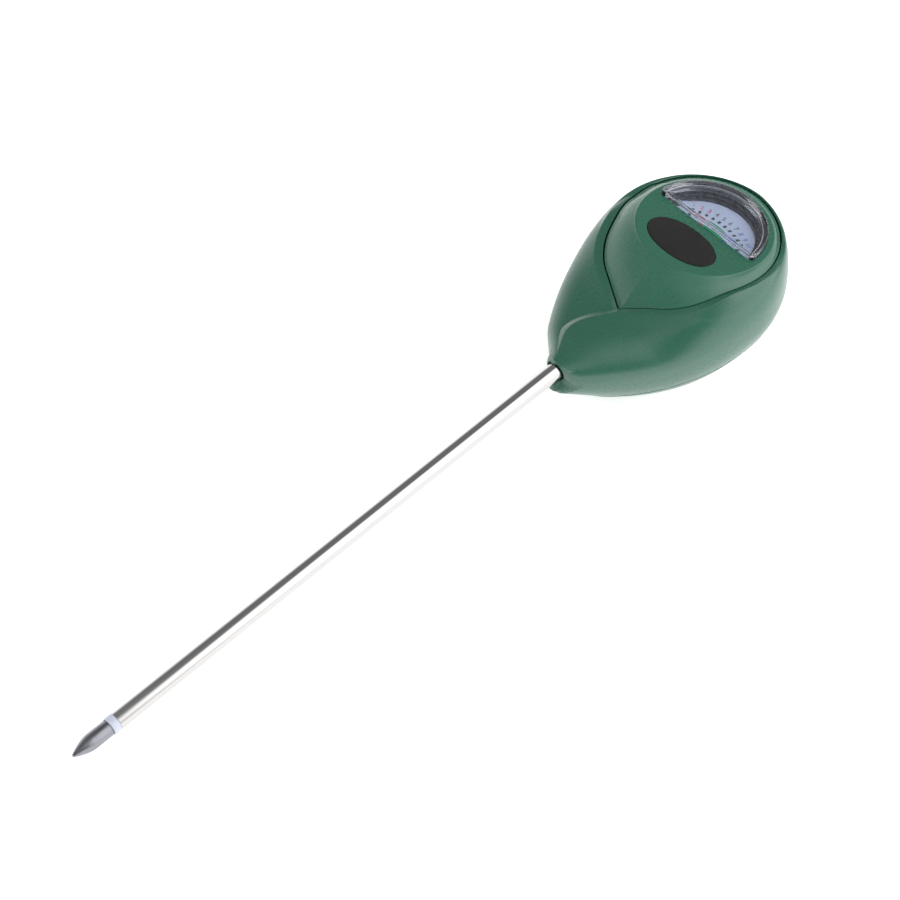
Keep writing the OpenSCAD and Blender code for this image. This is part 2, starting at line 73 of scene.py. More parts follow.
# Probe, from its point at -PROBE_L to the end of the rod inside the head
PROBE_L, TIP_POINT, TIP_STRAIGHT, RING_L = 118.9, 4.6, 3.8, 1.6
TUBE_R, TIP_R, SHANK_R, NOSE_R = 1.75, 1.58, 1.7, 2.1
TUBE_BORE_R, RING_BORE_R = 1.27, 0.67
RING_X = -PROBE_L + TIP_POINT + TIP_STRAIGHT
TUBE_X0, TUBE_X1 = RING_X + RING_L, 13.0


def unit(v):
    return v / np.linalg.norm(v)


mounts = {m["name"]: m for m in record["mounts"]}
HEAD_X = -unit(np.array(mounts["probe"]["axis"], float))
HEAD_Y = np.array([0.0, 1.0, 0.0])
HEAD_Z = np.cross(HEAD_X, HEAD_Y)
BASIS = np.array([HEAD_X, HEAD_Y, HEAD_Z])


def from_face(p):
    """Face frame to head frame, for an array of points."""
    p = np.asarray(p, float)
    x, y, z = p[..., 0], p[..., 1], p[..., 2]
    return np.stack([FACE[0] + x * math.cos(TILT) + z * math.sin(TILT), y,
                     FACE[2] - x * math.sin(TILT) + z * math.cos(TILT)], -1)


joint = record["behaviour"]["joints"][0]
ORIGIN = np.array(joint["pos_m"], float) - from_face([PIVOT_X, 0, PIVOT_Z]) @ BASIS * MM


def to_row(p):
    """Head frame in mm to row frame in metres."""
    return np.asarray(p, float) @ BASIS * MM + ORIGIN


def ease(s):
    """Smooth step from 0 to 1."""
    s = np.clip(s, 0, 1)
    return s * s * (3 - 2 * s)


def lerp(a, b, t):
    return a + (b - a) * t


def swell(x, at_nose, most, most_x, power):
    """Bud curve along the head: from at_nose up to most at most_x, then to 0."""
    x = np.clip(x, NOSE_X, CROWN_X)
    front = at_nose + (most - at_nose) * np.clip(
        1 - (np.clip(most_x - x, 0, None) / (most_x - NOSE_X)) ** 2.2, 0, 1) ** 1.2
    back = most * np.clip(
        1 - (np.clip(x - most_x, 0, None) / (CROWN_X - most_x)) ** 2, 0, 1) ** power
    return np.where(x < most_x, front, back)


def half_w(x):
    return swell(x, NOSE_W, HALF_W, WIDE_X, 0.56)


def depth(x):
    return swell(x, NOSE_D, BACK_D, DEEP_X, 0.7)


def rise(x):
    """Height of the front above the waist on the middle line.

    The nose is low, and the front climbs to the face between x = 14 and x = 36.
    """
    x = np.clip(x, NOSE_X, CROWN_X)
    lift = 4.2 + 0.06 * np.minimum(x, WIDE_X) + 8.4 * ease((x - 14) / 22)
    fall = np.clip(1 - (np.clip(x - WIDE_X, 0, None) / (CROWN_X - WIDE_X)) ** 2.2,
                   0, 1) ** 0.56
    return lift * np.where(x < WIDE_X, 1, fall)


def side(x, y):
    """How much of the height is left at y across the station, 1 on the middle line."""
    w = np.maximum(half_w(x), 1e-6)
    return np.clip(1 - np.clip(np.abs(y) / w, 0, 1) ** BLUNT, 0, 1) ** (1 / BLUNT)


def body_gap(x, y, z):
    """Below zero inside the head, above zero outside."""
    w = np.maximum(half_w(x), 1e-6)
    h = np.maximum(np.where(z > WAIST_Z, rise(x), depth(x)), 1e-6)
    out = (np.abs(y) / w) ** BLUNT + (np.abs(z - WAIST_Z) / h) ** BLUNT - 1
    return np.where((x < NOSE_X) | (x > CROWN_X), 1.0, out)


def reach(start, direction, gap, far=60.0, halvings=44):
    """Distance along each ray to where gap turns positive, by halving."""
    lo, hi = np.zeros(len(direction)), np.full(len(direction), far)
    for _ in range(halvings):
        mid = (lo + hi) / 2
        inside = gap(start + direction * mid[:, None]) < 0
        lo, hi = np.where(inside, mid, lo), np.where(inside, hi, mid)
    return lo


def plan_dir(phi):
    """Unit vectors in plan at angles phi."""
    return np.stack([np.cos(phi), np.sin(phi)], -1)


def outline_gap(p, grow):
    """Signed distance to the panel outline, which is drawn in by RIGHT_IN on the right.

    The outline is the hull of three circles on the X axis, grown by grow.
    """
    y = np.abs(p[:, 1])
    x = p[:, 0]
    best = np.full(len(x), 1e9)
    rings = [(DROP_X, DROP_R), (NEAR_X, NEAR_R), (FAR_X, FAR_R)]
    for (xa, ra), (xb, rb) in zip(rings, rings[1:]):
        s = (rb - ra) / (xb - xa)
        c = math.sqrt(1 - s * s)
        # nearest point of the cone between the two circles
        t = np.clip((x - xa + y * s / c) / (xb - xa), 0, 1)
        best = np.minimum(best, np.hypot(x - xa - t * (xb - xa), y) - ra - t * (rb - ra))
    right = np.clip(-p[:, 1] / np.maximum(np.hypot(x - CENTRE[0], y), 1e-6), 0, 1)
    return best - grow + RIGHT_IN * right


def panel_edge(phi, grow=0.0):
    """Plan points of the panel outline along rays from CENTRE."""
    d = plan_dir(phi)
    r = reach(CENTRE, d, lambda p: outline_gap(p, grow))
    return CENTRE + d * r[:, None]


def waist_edge(phi, z=WAIST_Z):
    """Plan points of the head's outline at height z along rays from CENTRE."""
    d = plan_dir(phi)
    r = reach(CENTRE, d, lambda p: body_gap(p[:, 0], p[:, 1], z - (z >= WAIST_Z) * 1e-6))
    return CENTRE + d * r[:, None]


RIM_Z = 4.7                          # height of the thin lip at the crown
RIM_UP = 0.8                         # how much higher it is beside the face
RIM_END = math.radians(140)          # how far round from the crown it reaches
RIM_FADE = math.radians(45)          # and over what turn it fades


def shell_z(xy, phi, t):
    """Height of the front: the loft, with a blunter rim round the crown."""
    x, y = xy[..., 0], xy[..., 1]
    z = WAIST_Z + rise(x) * side(x, y)
    turn = np.abs((phi + math.pi) % (2 * math.pi) - math.pi)
    weight = ease((RIM_END - turn) / RIM_FADE)
    top = RIM_Z + RIM_UP * ease(turn / math.radians(90))
    rim = WAIST_Z + (top - WAIST_Z) * np.clip(1 - np.clip(t, 0, 1) ** 3, 0, 1) ** (1 / 3)
    return z + weight * np.maximum(0, rim - z)


# ------------------------------------------------------------------ mesh helpers
WELD = 2e-6          # points nearer than this, in metres, become one


def grid_faces(rows, cols, closed=False, flip=False):
    """Quads of a grid of points; closed joins the last column to the first."""
    out = []
    for i in range(rows - 1):
        for j in range(cols if closed else cols - 1):
            k = (j + 1) % cols
            q = (i * cols + j, i * cols + k, (i + 1) * cols + k, (i + 1) * cols + j)
            out.append(q[::-1] if flip else q)
    return out


class Skin:
    """Collects grids of head-frame points into one mesh."""

    def __init__(self):
        self.points, self.faces, self.count = [], [], 0

    def add(self, grid, closed=False, flip=False, keep=None):
        """Adds a grid of points; faces with no point that keep allows are left out."""
        rows, cols = grid.shape[:2]
        flat = grid.reshape(-1, 3)
        faces = grid_faces(rows, cols, closed, flip)
        if keep is not None:
            ok = keep(flat)
            faces = [f for f in faces if any(ok[v] for v in f)]
        self.faces += [tuple(v + self.count for v in f) for f in faces]
        self.points.append(flat)
        self.count += len(flat)
        return self

    def fan(self, ring, centre, flip=False):
        """Closes a ring of points with triangles to its centre."""
        n = len(ring)
        self.points += [ring, np.asarray(centre, float)[None]]
        for j in range(n):
            f = (self.count + j, self.count + (j + 1) % n, self.count + n)
            self.faces.append(f[::-1] if flip else f)
        self.count += n + 1
        return self

    def build(self, name, material, sharp, outward=False):
        """Welds it into an object; outward turns the faces of a closed skin out."""
        mesh = bpy.data.meshes.new(name)
        mesh.from_pydata(to_row(np.concatenate(self.points)).tolist(), [], self.faces)
        bm = bmesh.new()
        bm.from_mesh(mesh)
        bmesh.ops.remove_doubles(bm, verts=bm.verts, dist=WELD)
        bmesh.ops.dissolve_degenerate(bm, edges=bm.edges, dist=1e-7)
        loose = [v for v in bm.verts if not v.link_faces]
        bmesh.ops.delete(bm, geom=loose, context="VERTS")
        if outward:
            bmesh.ops.recalc_face_normals(bm, faces=bm.faces)
            if bm.calc_volume(signed=True) < 0:
                bmesh.ops.reverse_faces(bm, faces=bm.faces)
        bm.to_mesh(mesh)
        bm.free()
        return finish_mesh(name, mesh, material, sharp)


def smooth(mesh, sharp):
    """Smooth shading, broken at edges sharper than this many degrees."""
    mesh.shade_smooth()
    mesh.set_sharp_from_angle(angle=math.radians(sharp))


def finish_mesh(name, mesh, material, sharp=32):
    smooth(mesh, sharp)
    mesh.materials.clear()
    mesh.materials.append(material)
    obj = bpy.data.objects.new(name, mesh)
    bpy.context.scene.collection.objects.link(obj)
    return obj


def place(obj, slot, *nodes, body="case"):
    """Attaches a piece to the body it rides on and hides the CAD nodes it replaces; slot is
    not used.
    """
    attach(obj, body)
    if nodes:
        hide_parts(*nodes)
    return obj


def lathe(profile, sides=128):
    """Rings of (x, r) turned about the rod axis."""
    a = np.linspace(0, 2 * math.pi, sides, endpoint=False)
    return np.array([[[x, r * math.cos(b), r * math.sin(b)] for b in a] for x, r in profile])


def on_face(loop, z):
    """A loop in the face plane, raised to z, as head-frame points."""
    return from_face(np.column_stack([loop, np.full(len(loop), z)]))


# ------------------------------------------------------------------ materials
def nodes_of(name):
    """A new material, its nodes, its links and its Principled BSDF."""
    m = bpy.data.materials.new(name)
    m.use_nodes = True
    t = m.node_tree
    return m, t.nodes, t.links, t.nodes["Principled BSDF"]


def add_noise(n, l, scale, detail=4.0, stretch=None):
    coord = n.new("ShaderNodeTexCoord")
    noise = n.new("ShaderNodeTexNoise")
    noise.inputs["Scale"].default_value = scale
    noise.inputs["Detail"].default_value = detail
    vector = coord.outputs["Object"]
    if stretch:
        mapping = n.new("ShaderNodeMapping")
        mapping.inputs["Scale"].default_value = stretch
        l.new(vector, mapping.inputs["Vector"])
        vector = mapping.outputs["Vector"]
    l.new(vector, noise.inputs["Vector"])
    return noise.outputs["Fac"]


def span(n, l, source, low, high):
    """A value from low to high, driven by a noise source."""
    r = n.new("ShaderNodeMapRange")
    r.inputs["From Min"].default_value = 0.3
    r.inputs["From Max"].default_value = 0.7
    r.inputs["To Min"].default_value = low
    r.inputs["To Max"].default_value = high
    l.new(source, r.inputs["Value"])
    return r.outputs["Result"]


def vary(n, l, source, dark, light):
    """A colour from dark to light, driven by a noise source."""
    ramp = n.new("ShaderNodeValToRGB")
    ramp.color_ramp.elements[0].position = 0.32
    ramp.color_ramp.elements[1].position = 0.68
    ramp.color_ramp.elements[0].color = (*dark, 1)
    ramp.color_ramp.elements[1].color = (*light, 1)
    l.new(source, ramp.inputs["Fac"])
    return ramp.outputs["Color"]


def bumped(n, l, bsdf, source, strength, distance):
    b = n.new("ShaderNodeBump")
    b.inputs["Strength"].default_value = strength
    b.inputs["Distance"].default_value = distance
    l.new(source, b.inputs["Height"])
    l.new(b.outputs["Normal"], bsdf.inputs["Normal"])


def shade(c, k):
    """Colour c made k times as bright."""
    return tuple(min(1.0, v * k) for v in c)


def plastic(name, colour, rough=(0.24, 0.32), swing=0.05, grain=1400, bump=0.008, spec=0.5):
    """Moulded plastic or print: clouded colour, fine grain, rough from low to high."""
    m, n, l, b = nodes_of(name)
    cloud = add_noise(n, l, 70)
    fine = add_noise(n, l, grain, 2)
    l.new(vary(n, l, cloud, shade(colour, 1 - swing), shade(colour, 1 + swing)),
          b.inputs["Base Color"])
    l.new(span(n, l, fine, *rough), b.inputs["Roughness"])
    bumped(n, l, b, fine, bump, 0.00003)
    b.inputs["Specular IOR Level"].default_value = spec
    return m


def metal(name, colour, rough=(0.15, 0.25), swing=0.06, stretch=(40, 900, 900), bump=0.08):
    """Metal with grinding lines; stretch sets their scale along each axis."""
    m, n, l, b = nodes_of(name)
    lines = add_noise(n, l, 3, 3, stretch)
    l.new(vary(n, l, lines, shade(colour, 1 - swing), shade(colour, 1 + swing)),
          b.inputs["Base Color"])
    l.new(span(n, l, lines, *rough), b.inputs["Roughness"])
    bumped(n, l, b, lines, bump, 0.00001)
    b.inputs["Metallic"].default_value = 1.0
    return m


def clear(name, tint, rough=0.02, ior=1.49):
    """Clear plastic that casts only a faint shadow on what is behind it."""
    m, n, l, b = nodes_of(name)
    b.inputs["Base Color"].default_value = (*tint, 1)
    b.inputs["Transmission Weight"].default_value = 1.0
    b.inputs["IOR"].default_value = ior
    haze = add_noise(n, l, 260, 3)
    l.new(span(n, l, haze, rough * 0.5, rough * 1.8), b.inputs["Roughness"])
    through = n.new("ShaderNodeBsdfTransparent")
    through.inputs["Color"].default_value = (*shade(tint, 0.98), 1)
    path = n.new("ShaderNodeLightPath")
    mix = n.new("ShaderNodeMixShader")
    l.new(path.outputs["Is Shadow Ray"], mix.inputs["Fac"])
    l.new(b.outputs["BSDF"], mix.inputs[1])
    l.new(through.outputs["BSDF"], mix.inputs[2])
    l.new(mix.outputs["Shader"], n["Material Output"].inputs["Surface"])
    return m


GREEN = (0.020, 0.100, 0.062)
PRINT = {"rough": (0.45, 0.55), "swing": 0.08, "grain": 2000, "bump": 0.02}
GLOSS = {"rough": (0.26, 0.29), "swing": 0.02, "spec": 0.75}
M = {
    "shell_green": plastic("shell_green", GREEN, **GLOSS),
    # painted shade: the underside cover is the shell's green made a little darker
    "cover_green": plastic("cover_green", shade(GREEN, 0.95), **GLOSS),
    # painted light: the raised panel, which faces the lamps, is the shell's green made
    # lighter
    "panel_green": plastic("panel_green", shade(GREEN, 1.15), **GLOSS),
    "badge_black": plastic("badge_black", (0.017, 0.016, 0.016), (0.5, 0.62), 0.12,
                           900, 0.1, spec=0.2),
    "lens_clear": clear("lens_clear", (0.93, 0.94, 0.97)),
    "well_black": plastic("well_black", (0.05, 0.055, 0.065), (0.22, 0.34), 0.2, 900, 0.08),
    # painted shade: the white dial is given a darker grey-blue, the shade it lies in under
    # the lens
    "dial_white": plastic("dial_white", (0.40, 0.45, 0.58), (0.45, 0.6), 0.02, 1600, 0.03),
    "print_red": plastic("print_red", (0.48, 0.03, 0.05), **PRINT),
    "print_green": plastic("print_green", (0.03, 0.24, 0.11), **PRINT),
    "print_blue": plastic("print_blue", (0.03, 0.14, 0.42), **PRINT),
    "print_dark": plastic("print_dark", (0.03, 0.07, 0.06), **PRINT),
    "screw_steel": metal("screw_steel", (0.45, 0.45, 0.46), (0.25, 0.4)),
    "iron": metal("iron", (0.28, 0.28, 0.29), (0.4, 0.55), 0.12, (300, 300, 300)),
    "brass": metal("brass", (0.70, 0.52, 0.24), (0.22, 0.35), 0.08, (300, 300, 300)),
    "former_alu": metal("former_alu", (0.72, 0.73, 0.74), (0.3, 0.4), 0.05, (300, 300, 300)),
    "winding_copper": metal("winding_copper", (0.62, 0.25, 0.12), (0.3, 0.4), 0.25,
                            (60, 60, 2600), 0.4),
    "pointer_alu": plastic("pointer_alu", (0.03, 0.03, 0.035), (0.35, 0.45), 0.1, 900, 0.05),
    "lead_red": plastic("lead_red", (0.45, 0.02, 0.02), (0.35, 0.45)),
    "lead_black": plastic("lead_black", (0.012, 0.012, 0.013), (0.35, 0.45)),
    "resistor_tan": plastic("resistor_tan", (0.45, 0.33, 0.18), (0.4, 0.5), 0.12),
    "tube_chrome": metal("tube_chrome", (0.56, 0.55, 0.54), (0.05, 0.09), 0.02,
                         (30, 1500, 1500), 0.03),
    "sleeve_white": plastic("sleeve_white", (0.50, 0.53, 0.62), (0.3, 0.4), 0.03, 900, 0.05),
    "inner_steel": metal("inner_steel", (0.5, 0.5, 0.51), (0.3, 0.4)),
    "tip_metal": metal("tip_metal", (0.27, 0.275, 0.30), (0.3, 0.42), 0.08,
                       (60, 700, 700), 0.15),
    # a guessed rubber grommet at the mouth; its near-black also stands in as painted shadow
    # in the gap where the rod enters the head
    "grommet_black": plastic("grommet_black", (0.008, 0.008, 0.008), (0.5, 0.6)),
}
for part in record["subparts"]:
    held = frame["nodes"][part["node"]]
    for s in held.material_slots:
        s.material = M[part["material_slot"]]

# ------------------------------------------------------------------ camera, light
camera = bpy.data.cameras.new("camera")
camera.lens, camera.sensor_width = 131.0, 36.0
camera.clip_start, camera.clip_end = 0.01, 20.0
eye = bpy.data.objects.new("camera", camera)
EYE, AIM = Vector((-0.2756, -0.3028, 0.4591)), Vector((0.0091, 0.0057, 0.0042))
# The meter lies rolled a little on its round back, so the camera is turned about the rod,
# and then rolled about its own axis.
LEAN, ROLL = math.radians(3.5), -0.010
level = Matrix.Translation(EYE) @ (AIM - EYE).to_track_quat("-Z", "Y").to_matrix().to_4x4()
about = Matrix.Translation(Vector(ORIGIN))
lean = about @ Matrix.Rotation(-LEAN, 4, Vector(HEAD_X)) @ about.inverted()
eye.matrix_world = lean @ level @ Matrix.Rotation(ROLL, 4, "Z")
bpy.context.scene.collection.objects.link(eye)
bpy.context.scene.camera = eye
bpy.context.scene.view_settings.view_transform = "Standard"

# Studio surroundings: direction, inner and outer angle in degrees, brightness
LOBES = [
    ((-0.50, -0.55, 0.67), 20, 42, 0.12),    # dark behind the camera
    ((-0.35, -0.25, 0.90), 6, 24, 0.70),     # lamp above the face
    ((0.46, -0.61, 0.65), 26, 46, 2.00),     # wide softbox on the right
    ((0.46, 0.48, 0.75), 24, 36, 0.24),      # dark gap between the lamps
]


def studio():
    """Sky from bright below to dim above, with the lobes laid over it in turn."""
    world = bpy.data.worlds.new("studio")
    bpy.context.scene.world = world
    world.use_nodes = True
    n, l = world.node_tree.nodes, world.node_tree.links
    coord = n.new("ShaderNodeTexCoord")
    split = n.new("ShaderNodeSeparateXYZ")
    l.new(coord.outputs["Generated"], split.inputs["Vector"])
    ramp = n.new("ShaderNodeValToRGB")
    e = ramp.color_ramp.elements
    e[0].position, e[0].color = 0.16, (1.25, 1.25, 1.25, 1)
    e[1].position, e[1].color = 0.50, (0.30, 0.30, 0.31, 1)
    l.new(split.outputs["Z"], ramp.inputs["Fac"])
    sky = ramp.outputs["Color"]
    for direction, inner, outer, bright in LOBES:
        dot = n.new("ShaderNodeVectorMath")
        dot.operation = "DOT_PRODUCT"
        dot.inputs[1].default_value = Vector(direction).normalized()
        l.new(coord.outputs["Generated"], dot.inputs[0])
        part = n.new("ShaderNodeMapRange")
        part.interpolation_type = "SMOOTHSTEP"
        part.inputs["From Min"].default_value = math.cos(math.radians(outer))
        part.inputs["From Max"].default_value = math.cos(math.radians(inner))
        l.new(dot.outputs["Value"], part.inputs["Value"])
        mix = n.new("ShaderNodeMix")
        mix.data_type = "RGBA"
        l.new(part.outputs["Result"], mix.inputs["Factor"])
        l.new(sky, mix.inputs["A"])
        mix.inputs["B"].default_value = (bright, bright, bright * 1.01, 1)
        sky = mix.outputs["Result"]
    l.new(sky, n["Background"].inputs["Color"])
    n["Background"].inputs["Strength"].default_value = 1.0


LAMP_AIM = Vector((0.03, 0, 0.01))
FLOOR_R, FLOOR_SIDES = 4.0, 64


def softbox(name, at, size, power):
    """A square lamp aimed at the head, not seen in reflections."""
    light = bpy.data.lights.new(name, "AREA")
    light.shape, light.size, light.energy = "SQUARE", size, power
    obj = bpy.data.objects.new(name, light)
    obj.location = at
    obj.rotation_euler = (LAMP_AIM - Vector(at)).to_track_quat("-Z", "Y").to_euler()
    obj.visible_glossy = False
    bpy.context.scene.collection.objects.link(obj)


def floor():
    """White round bench that glows a little, so that it comes out white."""
    m, n, l, b = nodes_of("floor_white")
    cloud = add_noise(n, l, 6, 2)
    l.new(vary(n, l, cloud, (0.90, 0.90, 0.90), (0.93, 0.93, 0.93)), b.inputs["Base Color"])
    b.inputs["Roughness"].default_value = 0.9
    b.inputs["Specular IOR Level"].default_value = 0.0
    b.inputs["Emission Color"].default_value = (1, 1, 1, 1)
    b.inputs["Emission Strength"].default_value = 0.55
    mesh = bpy.data.meshes.new("floor")
    turns = [2 * math.pi * i / FLOOR_SIDES for i in range(FLOOR_SIDES)]
    ring = [(FLOOR_R * math.cos(a), FLOOR_R * math.sin(a), 0) for a in turns]
    mesh.from_pydata(ring, [], [tuple(range(FLOOR_SIDES))])
    mesh.materials.append(m)
    obj = bpy.data.objects.new("floor", mesh)
    bpy.context.scene.collection.objects.link(obj)


studio()
floor()
softbox("left_light", (-0.5, 0.9, 0.9), 0.7, 6)
softbox("right_light", (0.3, -1.0, 0.8), 0.8, 7)

# ------------------------------------------------------------------ front shell
LIP_DEEP = 0.55                 # how far the lip dips to the crease
LIP_SINK = 1.6                  # how far below the loft a level lip may lie
LIP_SLOPE = 0.08                # its rise towards the groove, per mm of its width
PETAL_LIFT = 0.85               # how far the petal stands above the loft
TUCK = 2.2                      # how far the lip's inner wall goes down
SEAM_X, SEAM_Y = -0.6, 5.25     # where the seam leaves the mouth, and how far out it bows
CHIN_Z, CHIN_FALL = -1.2, 2.2   # the chin starts this low, and is full this much lower
DOME, DOME_R = 0.42, 4.2        # how the mouth's rim is domed, and out to what radius
PINCH, PINCH_X, PINCH_L = 0.45, -1.0, 8.0
SKIRT_IN, SKIRT_LAP = 0.14, 0.02    # rounding of the edge at the parting line


def seam_y(x):
    """Plan line of the petal's free edge, from the nose to the drop point."""
    s = np.clip((x + 2.0) / 19.0, 0, 1)
    return SEAM_Y * np.sin(math.pi * s ** 0.93)


def chin_x(z):
    """How far the mouth reaches forward below the rod."""
    return NOSE_X * ease((CHIN_Z - z) / CHIN_FALL)


def trim_x(y, z):
    """The mouth of the nose: smallest x kept, with a chin below the rod, domed outside."""
    return chin_x(z) + DOME * (np.clip(np.hypot(y, z), NOSE_R, DOME_R) - NOSE_R) ** 2


def pinch(p):
    """Narrows the left side of the nose, most at the mouth and ending PINCH_L behind."""
    p = np.array(p, float)
    k = 1 - PINCH * (1 - ease((p[..., 0] - PINCH_X) / PINCH_L))
    p[..., 1] = np.where(p[..., 1] > 0, p[..., 1] * k, p[..., 1])
    return p


def mouth(grid):
    """Pull points in front of the mouth back onto it."""
    grid = grid.copy()
    grid[..., 0] = np.maximum(grid[..., 0], trim_x(grid[..., 1], grid[..., 2]))
    return grid


def behind_mouth(p):
    return p[:, 0] > trim_x(p[:, 1], p[:, 2]) + 1e-6


def flank(skin, edge, phi):
    """Rows from the waist down to the parting line, one column per ray."""
    rows = []
    levels = WAIST_Z + (SPLIT_Z - WAIST_Z) * np.linspace(0, 1, 16)
    levels = np.append(levels[:-1], [SPLIT_Z + SKIRT_IN, SPLIT_Z + SKIRT_LAP])
    for i, z in enumerate(levels):
        p = edge if i == 0 else waist_edge(phi, z)
        if i == len(levels) - 1:
            far = np.linalg.norm(p - CENTRE, axis=1)
            p = CENTRE + (p - CENTRE) * (1 - SKIRT_IN / far)[:, None]
        rows.append(np.column_stack([p, np.full(len(p), z)]))
    # a short return behind the edge, so that no light shows through
    rows.append(rows[-1] * [1, 0.93, 1] + [0, 0, 0.3])
    skin.add(pinch(mouth(np.array(rows))), keep=behind_mouth)


BAND_STEPS = [0, 0.03, 0.08, 0.2, 0.4, 0.6, 0.8]     # across the lip, from the groove
EDGE_ROUND = 0.12                                    # half width of the lip's rounded edge


def surface_rows(inner, outer, phi, band, lift, lip, body):
    """Rows from the groove across the lip and on to the waist.

    lip(s, z, z_edge, band) gives the height on the lip: s runs from 0 at the groove to 1
    at the lip's outer edge, z is the loft's own height there and z_edge that at the edge,
    and band is the lip's width. body is the number of rows outside the lip.
    """
    length = np.maximum(np.linalg.norm(outer - inner, axis=1), 1e-4)
    out = (outer - inner) / length[:, None]
    band = np.minimum(band, 0.55 * length)

    def loft(d):
        """Points d out from the groove; the lift fades at the waist and at the mouth."""
        p = inner + out * d[:, None]
        t = np.clip((d - band) / np.maximum(length - band, 1e-4), 0, 1)
        raised = lift * (1 - ease((t - 0.4) / 0.6)) * ease((p[:, 0] - 1) / 7)
        return p, shell_z(p, phi, d / length) + raised

    z_edge = loft(band)[1]
    rows = []
    for d in [s * band for s in BAND_STEPS] + [band - EDGE_ROUND]:
        p, z = loft(np.maximum(d, 0))
        rows.append(np.column_stack([p, lip(np.clip(d / band, 0, 1), z, z_edge, band)]))
    for s in np.sin(np.radians(np.linspace(0, 90, body))):
        start = np.minimum(band + EDGE_ROUND, 0.9 * length)
        p, z = loft(start + s * (length - start))
        rows.append(np.column_stack([p, z]))
    return rows


def level_lip(s, z, z_edge, band):
    """A nearly level band that dips below the loft towards the groove."""
    level = np.maximum(z_edge - 0.02 + LIP_SLOPE * band * (1 - s), z - LIP_SINK * (1 - s))
    return np.minimum(level, z - LIP_DEEP * (1 - s) ** 1.1)


def left_half(skin):
    """The front left of the panel and the nose. Returns the groove's points."""
    phi = np.radians(np.concatenate([np.linspace(0, 150, 130, endpoint=False),
                                     np.linspace(150, 180, 50)]))
    inner, outer = panel_edge(phi, PANEL_GAP), waist_edge(phi)
    turn = np.degrees(phi)
    # the lip is narrow at the crown, wider beside the face and narrow again at the nose
    band = 0.7 + 0.9 * ease(turn / 60) * (1 - 0.7 * ease((turn - 145) / 35))
    rows = surface_rows(inner, outer, phi, band, 0 * phi, level_lip, 44)
    wall = rows[0] - [0, 0, TUCK]
    skin.add(pinch(mouth(np.array([wall] + rows))), keep=behind_mouth)
    flank(skin, outer, phi)
    return rows[0]


def even_out(rows, front, turn):
    """Takes the waves out of the groove's height round the panel, fading across the lip."""
    z = rows[0][front:, 2]
    half = 17
    window = np.ones(2 * half + 1) / (2 * half + 1)
    even = z
    for _ in range(2):
        even = np.convolve(np.pad(even, half, mode="edge"), window, "valid")
    part = ease(turn[front:] / 40) * (1 - ease((turn[front:] - 150) / 30))
    shift = (even - z) * part
    for i, s in enumerate(BAND_STEPS):
        rows[i][front:, 2] += shift * (1 - s)


def right_half(skin):
    """The petal: its inner edge runs along the seam, then round the panel.

    Returns the groove's points beside the panel.
    """
    front, around = 150, 150        # columns along the seam, and round the panel
    split = 199.5                   # ray in degrees at which one passes into the other
    xs = NOSE_X + (DROP_X - 0.55 - NOSE_X) * np.linspace(0, 1, front, endpoint=False)
    start = seam_y(SEAM_X) * (xs - NOSE_X) / (SEAM_X - NOSE_X)
    seam = np.column_stack([xs, np.where(xs < SEAM_X, start, seam_y(xs))])
    phi_a = np.radians(np.linspace(180, 360, around))
    inner = np.concatenate([seam, panel_edge(phi_a, PANEL_GAP)])
    bend = np.linspace(0, 1, front, endpoint=False)
    phi = np.radians(np.concatenate([180 + (split - 180) * (0.55 * bend + 0.45 * bend ** 2),
                                     np.linspace(split, 360, around)]))
    outer = waist_edge(phi)
    along = np.concatenate([xs, np.full(around, DROP_X)])
    turn = np.concatenate([np.zeros(front), np.linspace(0, 180, around)])
    # the lip's width: 2.9 on the nose, 1.6 beside the face, 0.7 at the crown
    band = lerp(2.9, 1.6, ease((along - 2) / 9))
    band = np.where(turn > 120, lerp(1.6, 0.7, ease((turn - 120) / 60)), band)
    # how far the petal is raised, how deep its edge dips, and how far it has become level
    lift = PETAL_LIFT * (1 - 0.4 * ease(turn / 60)) * (1 - ease((turn - 60) / 100))
    edge = lerp(0.1, 0.9, ease(along / 7))
    blend = ease(turn / 14)

    def petal_lip(s, z, z_edge, band):
        """Thin raised edge over the seam, turning into the level lip by the panel."""
        thin = z - edge * (1 - s) ** 1.1 - 0.16 * np.clip(1 - s / 0.06, 0, 1) ** 2
        return lerp(thin, level_lip(s, z, z_edge, band), blend)

    rows = surface_rows(inner, outer, phi, band, lift, petal_lip, 50)
    even_out(rows, front, turn)
    wall_h = lerp(0.75, TUCK, ease(turn / 12))
    wall = rows[0] - np.column_stack([0 * wall_h, 0 * wall_h, wall_h])
    skin.add(pinch(mouth(np.array([wall] + rows))), keep=behind_mouth)
    flank(skin, outer, phi)
    return rows[0][front:]


